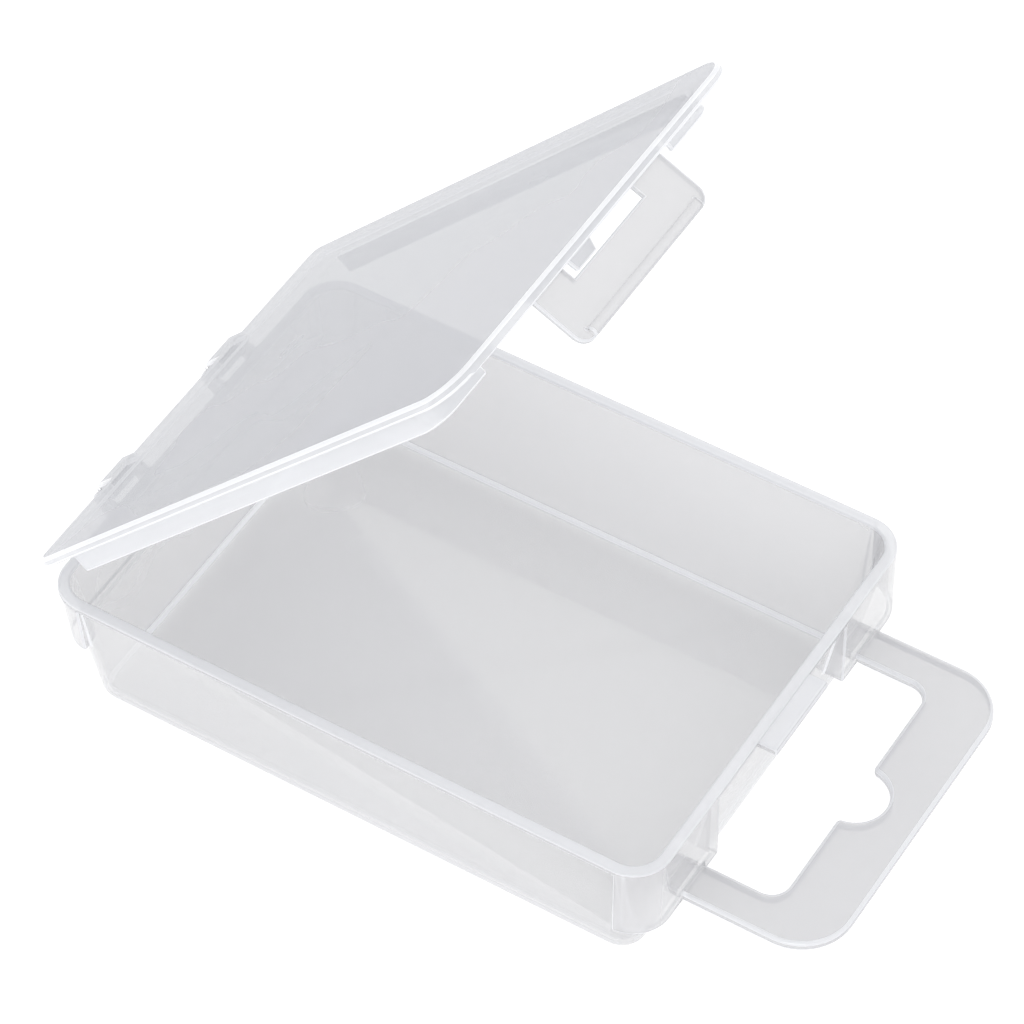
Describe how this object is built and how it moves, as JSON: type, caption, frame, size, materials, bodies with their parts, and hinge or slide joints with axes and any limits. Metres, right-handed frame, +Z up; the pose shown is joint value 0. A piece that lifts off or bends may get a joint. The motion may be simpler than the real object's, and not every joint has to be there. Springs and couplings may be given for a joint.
{
  "type": "small parts box",
  "caption": "Shallow clear plastic box with a hinged lid, a latch flap with a window, and a flat carrying handle with a peg notch.",
  "frame": {"origin": "middle of the rim in plan, on the flat underside of the tray", "axes": "+X from the hinge end to the handle end, +Y from the near side in the picture to the far side, +Z up"},
  "size_m": [0.1717, 0.1, 0.142],
  "materials": {
    "clear_body": "clear natural polypropylene, glossy, faintly milky"
  },
  "bodies": {
    "tray": {"tray": "clear_body"},
    "lid": {"lid": "clear_body"},
    "latch_flap": {"latch_flap": "clear_body"}
  },
  "joints": [
    {"name": "lid_hinge", "type": "hinge", "parent": "tray", "child": "lid", "pos_m": [-0.0714, 0, 0.0334], "axis": [0, -1, 0], "range_deg": [-47.5, 72.5]},
    {"name": "latch_flex", "type": "hinge", "parent": "lid", "child": "latch_flap", "pos_m": [0.02439, 0.001, 0.13986], "axis": [0, -1, 0], "range_deg": [-16, 6], "stiffness_Nm_per_rad": 0.01}
  ]
}
